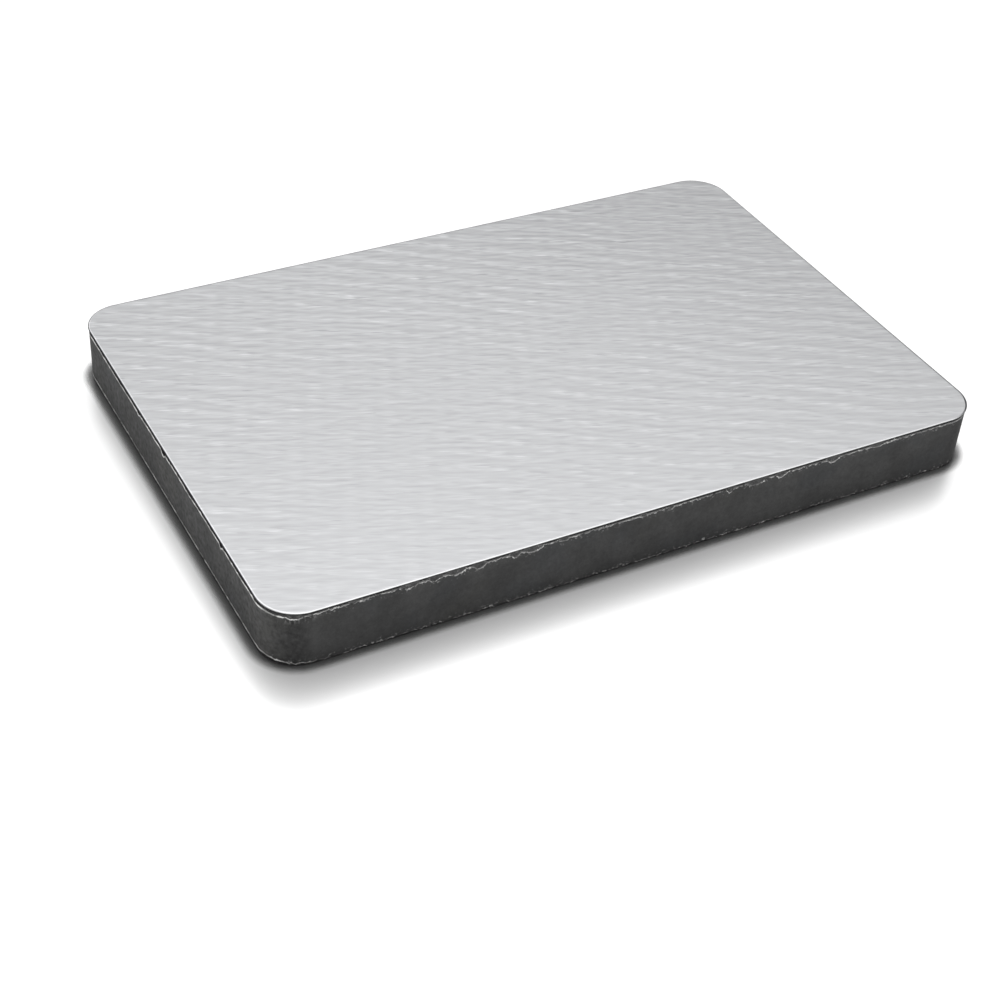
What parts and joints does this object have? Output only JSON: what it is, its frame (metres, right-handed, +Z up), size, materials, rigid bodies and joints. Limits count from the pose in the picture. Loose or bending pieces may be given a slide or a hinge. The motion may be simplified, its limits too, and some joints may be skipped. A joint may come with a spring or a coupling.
{
  "type": "fire-rated duct board",
  "caption": "Flat rounded-corner board of charcoal mineral core, faced on its upper side with thin brushed metal, for fire-rated ducts and panels.",
  "frame": {"origin": "middle of the underside of the board as it lies flat", "axes": "+X along the board's length, +Y across its width towards the back, +Z up through the facing"},
  "size_m": [0.3, 0.2, 0.024],
  "materials": {
    "facing": "brushed, satin",
    "bond": "matt black adhesive film",
    "core": "matt, sawn, chipped at the arrises"
  },
  "bodies": {
    "root": {"facing_sheet": "facing", "bond_film": "bond", "core": "core"}
  },
  "joints": []
}
